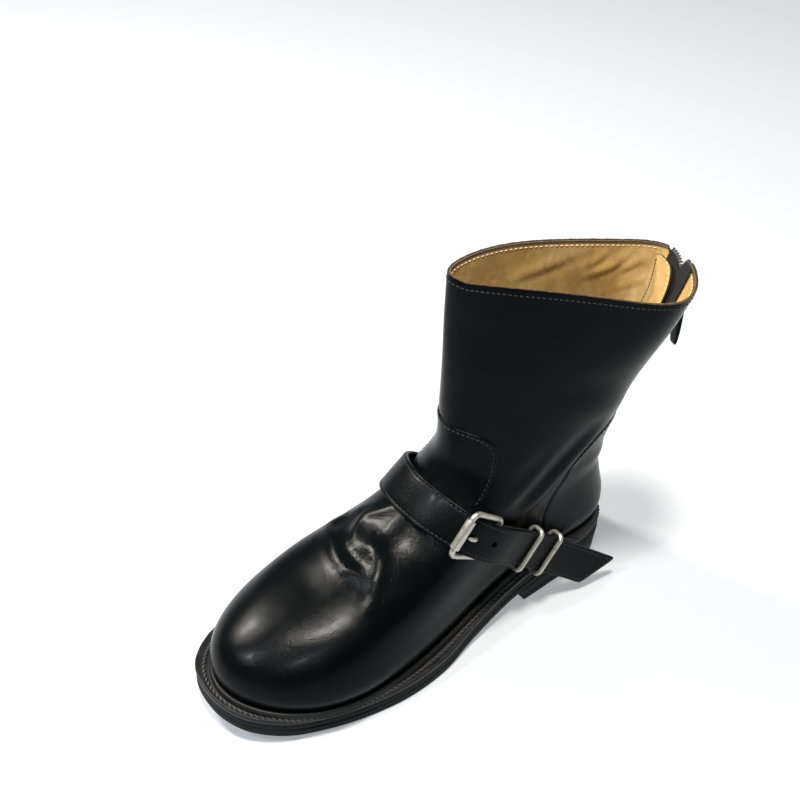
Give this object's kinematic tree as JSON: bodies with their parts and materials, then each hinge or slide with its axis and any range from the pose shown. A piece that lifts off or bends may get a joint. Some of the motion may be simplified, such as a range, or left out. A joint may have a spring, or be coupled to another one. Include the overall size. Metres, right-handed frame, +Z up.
{
  "type": "buckled leather boot",
  "caption": "Left-foot short black leather boot with a round toe, storm welt, low heel, buckled instep strap with wire keepers and a zip up the back.",
  "frame": {"origin": "on the floor, under the middle of the boot's box", "axes": "+Z up, -Y towards the toe, +X towards the outer side with the buckle"},
  "size_m": [0.128, 0.3117, 0.2433],
  "materials": {
    "sole_rubber": "matte black moulded rubber",
    "welt_leather": "black waxed welt leather, stitched",
    "tan_leather": "undyed tan lining leather",
    "black_leather": "black smooth calf, half gloss",
    "strap_leather": "black smooth strap leather, stitched edges",
    "nickel": "antique brushed nickel",
    "zip_cloth": "black woven zip tape",
    "zip_metal": "dark metal zip teeth",
    "pull_leather": "black leather pull tab"
  },
  "bodies": {
    "boot": {"outsole": "sole_rubber", "midsole": "sole_rubber", "heel": "sole_rubber", "welt": "welt_leather", "insole": "tan_leather", "upper": "black_leather", "vamp_tab": "black_leather", "heel_counter": "black_leather", "instep_strap": "strap_leather", "buckle_strap": "strap_leather", "buckle_frame": "nickel", "buckle_roller": "nickel", "buckle_prong": "nickel", "keeper_front": "nickel", "keeper_rear": "nickel", "zip_tape": "zip_cloth", "zip_guard": "tan_leather", "zip_teeth": "zip_metal", "zip_slider": "nickel", "zip_bail": "nickel"},
    "zip_pull": {"zip_pull": "pull_leather"}
  },
  "joints": [
    {"name": "zip_pull_swing", "type": "hinge", "parent": "boot", "child": "zip_pull", "pos_m": [0.03662, 0.15289, 0.22136], "axis": [0.9512, -0.3087, 0], "range_deg": [-12, 150]}
  ]
}
